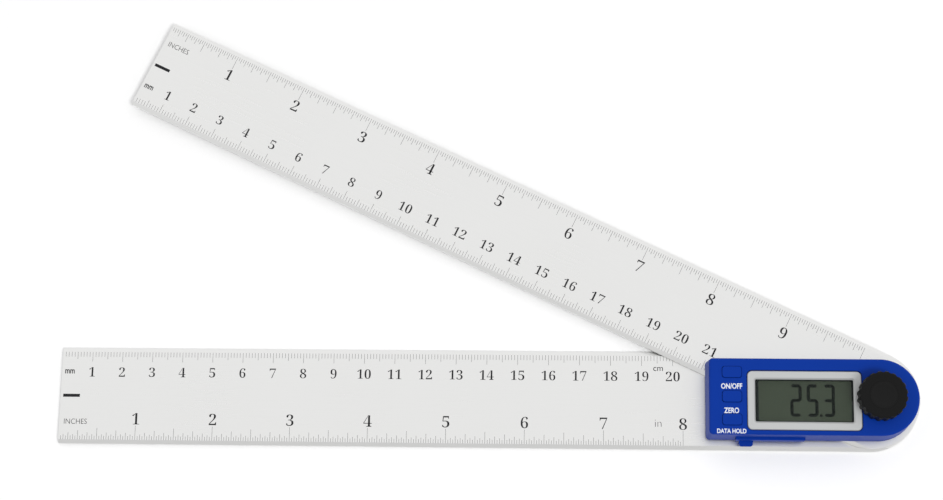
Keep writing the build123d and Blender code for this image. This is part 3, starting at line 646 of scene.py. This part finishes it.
# Bezel: a moulded ring in satin silver, its inner edge sloped down to the window. The blue
# moulding of the case fills the pocket round it.
BEZEL_COLOUR = (0.57, 0.58, 0.58)
BEZEL_ROUGHNESS = 0.475
BEZEL_METAL = 0.35
FLAKES_PER_METRE = 7000
FLAKE_DETAIL = 1.0
FLAKE_SHADE = 0.92
FLAKE_SPREAD = 0.15
FLAKE_DEPTH = 0.003 * MM
BEZEL_LENGTH = 35.4 * MM
BEZEL_WIDTH = 18.5 * MM
BEZEL_MIDDLE = Vector((-23.6 * MM, -1.2 * MM))
BEZEL_CORNER = 1.5 * MM
BEZEL_ROUND = 0.2 * MM
BEZEL_SLOPE = 0.45 * MM
BEZEL_GAP = 0.25 * MM
POCKET_GAP = 0.1 * MM  # from the frame's bezel to the pocket round it
WINDOW_LENGTH = 30.5 * MM
WINDOW_WIDTH = 13.3 * MM
CORNER_STEPS = 8


def satin_silver(place):
    """Satin paint on moulded plastic, with the sparkle of fine flake."""
    flakes = noise(place, FLAKES_PER_METRE, FLAKE_DETAIL)
    darker = darkened(BEZEL_COLOUR, FLAKE_SHADE)
    return {
        "Base Color": blend_colours(flakes, darker, BEZEL_COLOUR),
        "Roughness": around(BEZEL_ROUGHNESS, flakes, FLAKE_SPREAD),
        "Metallic": BEZEL_METAL,
        "Normal": relief(flakes, FLAKE_DEPTH),
    }


def rounded_loop(shape, middle, length, width, corner, z):
    """The edges of a rectangle with round corners, at one height."""
    earlier = set(shape.edges)
    size = Matrix.Diagonal((length, width, 1, 1))
    place = Matrix.Translation((middle.x, middle.y, z)) @ size
    made = bmesh.ops.create_grid(shape, x_segments=1, y_segments=1, size=0.5, matrix=place)
    bmesh.ops.bevel(
        shape,
        geom=made["verts"],
        offset=corner,
        offset_type="ABSOLUTE",
        affect="VERTICES",
        segments=CORNER_STEPS,
        profile=0.5,
        material=-1,
    )
    bmesh.ops.delete(shape, geom=shape.faces[:], context="FACES_ONLY")
    return [edge for edge in shape.edges if edge not in earlier]


def ring_through(rows):
    """A closed ring from loop to loop. A row is middle, length, width, corner and height."""
    shape = bmesh.new()
    loops = [rounded_loop(shape, *row) for row in rows]
    for near, far in zip(loops, loops[1:] + loops[:1]):
        bmesh.ops.bridge_loops(shape, edges=near + far)
    return shape


pocket_low, pocket_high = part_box("display_bezel")
case_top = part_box("case_top")[1].z
face_length = BEZEL_LENGTH - 2 * BEZEL_ROUND
face_width = BEZEL_WIDTH - 2 * BEZEL_ROUND
face_corner = BEZEL_CORNER - BEZEL_ROUND
side_top = pocket_high.z - BEZEL_ROUND
slope_length = WINDOW_LENGTH + 2 * BEZEL_SLOPE
slope_width = WINDOW_WIDTH + 2 * BEZEL_SLOPE
slope_foot = pocket_high.z - BEZEL_SLOPE
ring = ring_through((
    (BEZEL_MIDDLE, BEZEL_LENGTH, BEZEL_WIDTH, BEZEL_CORNER, pocket_low.z),
    (BEZEL_MIDDLE, BEZEL_LENGTH, BEZEL_WIDTH, BEZEL_CORNER, side_top),
    (BEZEL_MIDDLE, face_length, face_width, face_corner, pocket_high.z),
    (BEZEL_MIDDLE, slope_length, slope_width, 2 * BEZEL_SLOPE, pocket_high.z),
    (BEZEL_MIDDLE, WINDOW_LENGTH, WINDOW_WIDTH, BEZEL_SLOPE, slope_foot),
    (BEZEL_MIDDLE, WINDOW_LENGTH, WINDOW_WIDTH, BEZEL_SLOPE, pocket_low.z),
))
silver_paint = make_finish("satin_silver", satin_silver)
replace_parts(finish_piece(ring, "bezel_ring", silver_paint, "base"), "display_bezel")

pocket_middle = (pocket_low + pocket_high) / 2
pocket_length = pocket_high.x - pocket_low.x + 2 * POCKET_GAP
pocket_width = pocket_high.y - pocket_low.y + 2 * POCKET_GAP
gap_length = BEZEL_LENGTH + 2 * BEZEL_GAP
gap_width = BEZEL_WIDTH + 2 * BEZEL_GAP
gap_corner = BEZEL_CORNER + BEZEL_GAP
surround = ring_through((
    (pocket_middle, pocket_length, pocket_width, BEZEL_CORNER, pocket_low.z),
    (pocket_middle, pocket_length, pocket_width, BEZEL_CORNER, case_top),
    (BEZEL_MIDDLE, gap_length, gap_width, gap_corner, case_top),
    (BEZEL_MIDDLE, gap_length, gap_width, gap_corner, pocket_low.z),
))
finish_piece(surround, "bezel_surround", blue_moulding, "base")

# Window: clear acrylic behind the bezel, with a black border printed under its rim. The border
# is wider at the left, where the extra width is a painted shadow along the bezel's inner edge.
ACRYLIC_COLOUR = (0.02, 0.03, 0.025, 1)
ACRYLIC_ROUGHNESS = 0.055
ACRYLIC_ALPHA = 0.15
HAIRLINES = (400, 9000, 1)  # per metre along and across the hairlines
HAIRLINE_TURN = 0.6
HAIRLINE_SPREAD = 0.05
BORDER_COLOUR = (0.01, 0.012, 0.012)
# Width at the left: the printed border plus a painted shadow along the bezel's left inner edge.
BORDER_LEFT_WITH_PAINTED_SHADOW = 1.1 * MM
BORDER_RIGHT = 0.5 * MM
BORDER_SIDE = 0.3 * MM
BORDER_LAP = 0.5 * MM
BORDER_DROP = 0.12 * MM
BORDER_THICKNESS = 0.08 * MM


def clear_window(place):
    """Clear acrylic: what is seen of it is its gloss, with a few hairline marks."""
    hairlines = noise(stretched(place, HAIRLINES, HAIRLINE_TURN), 1.0)
    return {
        "Base Color": ACRYLIC_COLOUR,
        "Roughness": around(ACRYLIC_ROUGHNESS, hairlines, HAIRLINE_SPREAD),
        "Alpha": ACRYLIC_ALPHA,
    }


dress(make_finish("acrylic", clear_window), "display_window")
border_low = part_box("display_window")[0].z - BORDER_DROP
border_high = border_low + BORDER_THICKNESS
border_middle = BEZEL_MIDDLE + Vector(((BORDER_LEFT_WITH_PAINTED_SHADOW - BORDER_RIGHT) / 2, 0))
clear_length = WINDOW_LENGTH - BORDER_LEFT_WITH_PAINTED_SHADOW - BORDER_RIGHT
clear_width = WINDOW_WIDTH - 2 * BORDER_SIDE
lap_length = WINDOW_LENGTH + 2 * BORDER_LAP
lap_width = WINDOW_WIDTH + 2 * BORDER_LAP
border = ring_through((
    (BEZEL_MIDDLE, lap_length, lap_width, BEZEL_SLOPE, border_low),
    (BEZEL_MIDDLE, lap_length, lap_width, BEZEL_SLOPE, border_high),
    (border_middle, clear_length, clear_width, BEZEL_SLOPE, border_high),
    (border_middle, clear_length, clear_width, BEZEL_SLOPE, border_low),
))
border_black = make_finish("border_black", ink, BORDER_COLOUR, BORDER_COLOUR)
finish_piece(border, "window_border_and_painted_shadow", border_black, "base")

# Keys: three small caps moulded in the blue of the case, each with its name printed in
# white on the case below it.
PRINT_WHITE = (0.86, 0.88, 0.92)
PRINT_WORN = (0.70, 0.74, 0.84)
PRINT_WEIGHT = 0.03
PRINT_THICKNESS = 0.02 * MM
# Words: their middle in x and y, then width and height.
KEY_WORDS = (
    ("ON/OFF", -46.2 * MM, 3.15 * MM, 6.6 * MM, 1.8 * MM),
    ("ZERO", -46.3 * MM, -4.5 * MM, 4.7 * MM, 1.8 * MM),
    ("DATA HOLD", -46.3 * MM, -10.95 * MM, 9.1 * MM, 1.5 * MM),
)

dress(blue_moulding, "key_power", "key_zero", "key_hold")
key_words = bmesh.new()
for text, x, y, width, height in KEY_WORDS:
    add_lettering(key_words, text, height, x, y, PRINT_WEIGHT, width)
raise_flat(key_words, case_top, case_top + PRINT_THICKNESS)
white_print = make_finish("white_print", ink, PRINT_WHITE, PRINT_WORN)
finish_piece(key_words, "key_words", white_print, "base")

# Battery tray: a blue drawer in the front wall of the case, which holds a coin cell
# between two sprung contacts.
CELL_COLOUR = (0.72, 0.73, 0.75)
CONTACT_COLOUR = (0.78, 0.75, 0.66)
CONTACT_ROUGHNESS = 0.22

dress(blue_moulding, "battery_tray")
dress(make_finish("cell_can", plated, CELL_COLOUR, POLISHED), "coin_cell")
contact_leaf = make_finish("contact_leaf", plated, CONTACT_COLOUR, CONTACT_ROUGHNESS)
dress(contact_leaf, "contact_minus", "contact_plus")

# Lock knob: black moulding with flutes round its side and a brass insert on the stud's
# thread. A pressed cap closes it, over the nut and the spring washer that hold the stack.
FITTING_ROUGHNESS = 0.3
SPRING_ROUGHNESS = 0.25
BLACK = (0.007, 0.007, 0.007)
KNOB_ROUGHNESS = 0.5
KNOB_GLOSS = 0.12
CAP_ROUGHNESS = 0.45
CAP_GLOSS = 0.15


def dished_cap(place):
    """Black cap with the fine rings of its turned mould."""
    recipe = turned_metal(place, BLACK, CAP_ROUGHNESS)
    return recipe | {"Metallic": 0.0, "Specular IOR Level": CAP_GLOSS}


brass_fitting = make_finish("brass_fitting", turned_metal, BRASS_COLOUR, FITTING_ROUGHNESS)
dress(brass_fitting, "key_bush", "knob_insert")
spring_steel = make_finish("spring_steel", turned_metal, STUD_COLOUR, SPRING_ROUGHNESS)
dress(spring_steel, "spring_washer", "retaining_nut")
dress(make_finish("black_moulding", moulded, BLACK, KNOB_ROUGHNESS, KNOB_GLOSS), "lock_knob")
dress(make_finish("cap_moulding", dished_cap), "knob_cap")
